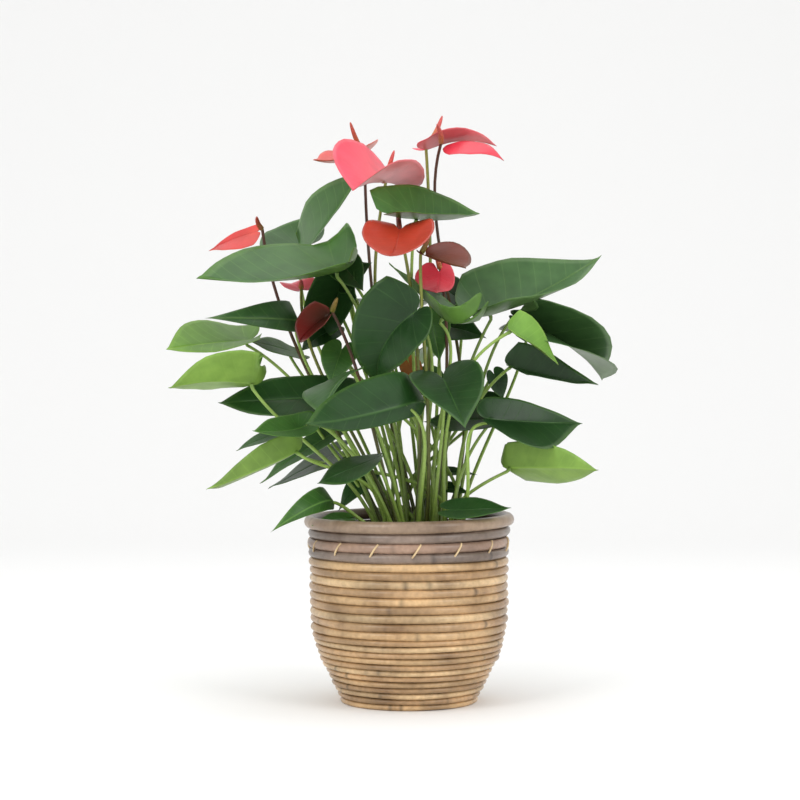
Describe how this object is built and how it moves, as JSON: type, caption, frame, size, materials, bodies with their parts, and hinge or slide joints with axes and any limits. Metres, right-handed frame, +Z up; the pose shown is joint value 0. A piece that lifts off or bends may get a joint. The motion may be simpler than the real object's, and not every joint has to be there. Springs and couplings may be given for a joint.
{
  "type": "potted anthurium",
  "caption": "Flowering anthurium with heart-shaped leaves and waxy pink and red spathes, in a nursery pot inside a round coiled rattan basket.",
  "frame": {"origin": "centre of the basket's resting face", "axes": "+Z up along the basket's axis; -Y towards the plant's open side, where most leaves face"},
  "size_m": [0.4865, 0.3796, 0.6394],
  "materials": {
    "rattan": "semi-gloss rattan cane, tan with brown coils",
    "nursery_plastic": "matte black moulded plastic",
    "potting_mix": null,
    "leaf_deep": null,
    "leaf_mid": "living leaf, mid green, satin",
    "leaf_grey": "living leaf, greyish green, satin",
    "leaf_lime": "young living leaf, yellow-green, satin",
    "flower_stalk": "living stalk, yellow-green to brown, satin",
    "spathe_coral": "waxy coral bract",
    "spathe_pink": "waxy pink bract",
    "spathe_rose": "waxy deep pink bract",
    "spathe_brick": "waxy brick-red bract",
    "spathe_olive": "waxy bract, maroon turning olive",
    "spathe_crimson": "waxy dark red bract"
  },
  "bodies": {
    "root": {"rattan_basket": "rattan", "basket_base": "rattan", "nursery_pot": "nursery_plastic", "potting_mix": "potting_mix", "leaf_01": "leaf_mid", "leaf_02": "leaf_grey", "leaf_03": "leaf_mid", "leaf_04": "leaf_grey", "leaf_05": "leaf_lime", "leaf_06": "leaf_lime", "leaf_07": "leaf_deep", "leaf_08": "leaf_mid", "leaf_09": "leaf_lime", "leaf_10": "leaf_deep", "leaf_11": "leaf_grey", "leaf_12": "leaf_deep", "leaf_13": "leaf_deep", "leaf_14": "leaf_deep", "leaf_15": "leaf_mid", "leaf_16": "leaf_grey", "leaf_17": "leaf_grey", "leaf_18": "leaf_lime", "leaf_19": "leaf_deep", "leaf_20": "leaf_deep", "leaf_21": "leaf_deep", "leaf_22": "leaf_lime", "leaf_23": "leaf_mid", "leaf_24": "leaf_deep", "leaf_25": "leaf_deep", "leaf_26": "leaf_deep", "leaf_27": "leaf_mid", "leaf_28": "leaf_mid", "leaf_29": "leaf_deep", "leaf_30": "leaf_mid", "leaf_31": "leaf_deep", "leaf_32": "leaf_mid", "leaf_33": "leaf_deep", "leaf_34": "leaf_mid", "leaf_35": "leaf_deep", "leaf_36": "leaf_mid", "flower_stem_01": "flower_stalk", "flower_stem_02": "flower_stalk", "flower_stem_03": "flower_stalk", "flower_stem_04": "flower_stalk", "flower_stem_05": "flower_stalk", "flower_stem_06": "flower_stalk", "flower_stem_07": "flower_stalk", "flower_stem_08": "flower_stalk", "flower_stem_09": "flower_stalk", "flower_stem_10": "flower_stalk", "spathe_01": "spathe_coral", "spathe_02": "spathe_pink", "spathe_03": "spathe_rose", "spathe_04": "spathe_pink", "spathe_05": "spathe_brick", "spathe_06": "spathe_olive", "spathe_07": "spathe_rose", "spathe_08": "spathe_crimson", "spathe_09": "spathe_coral", "spathe_10": "spathe_pink"}
  },
  "joints": []
}
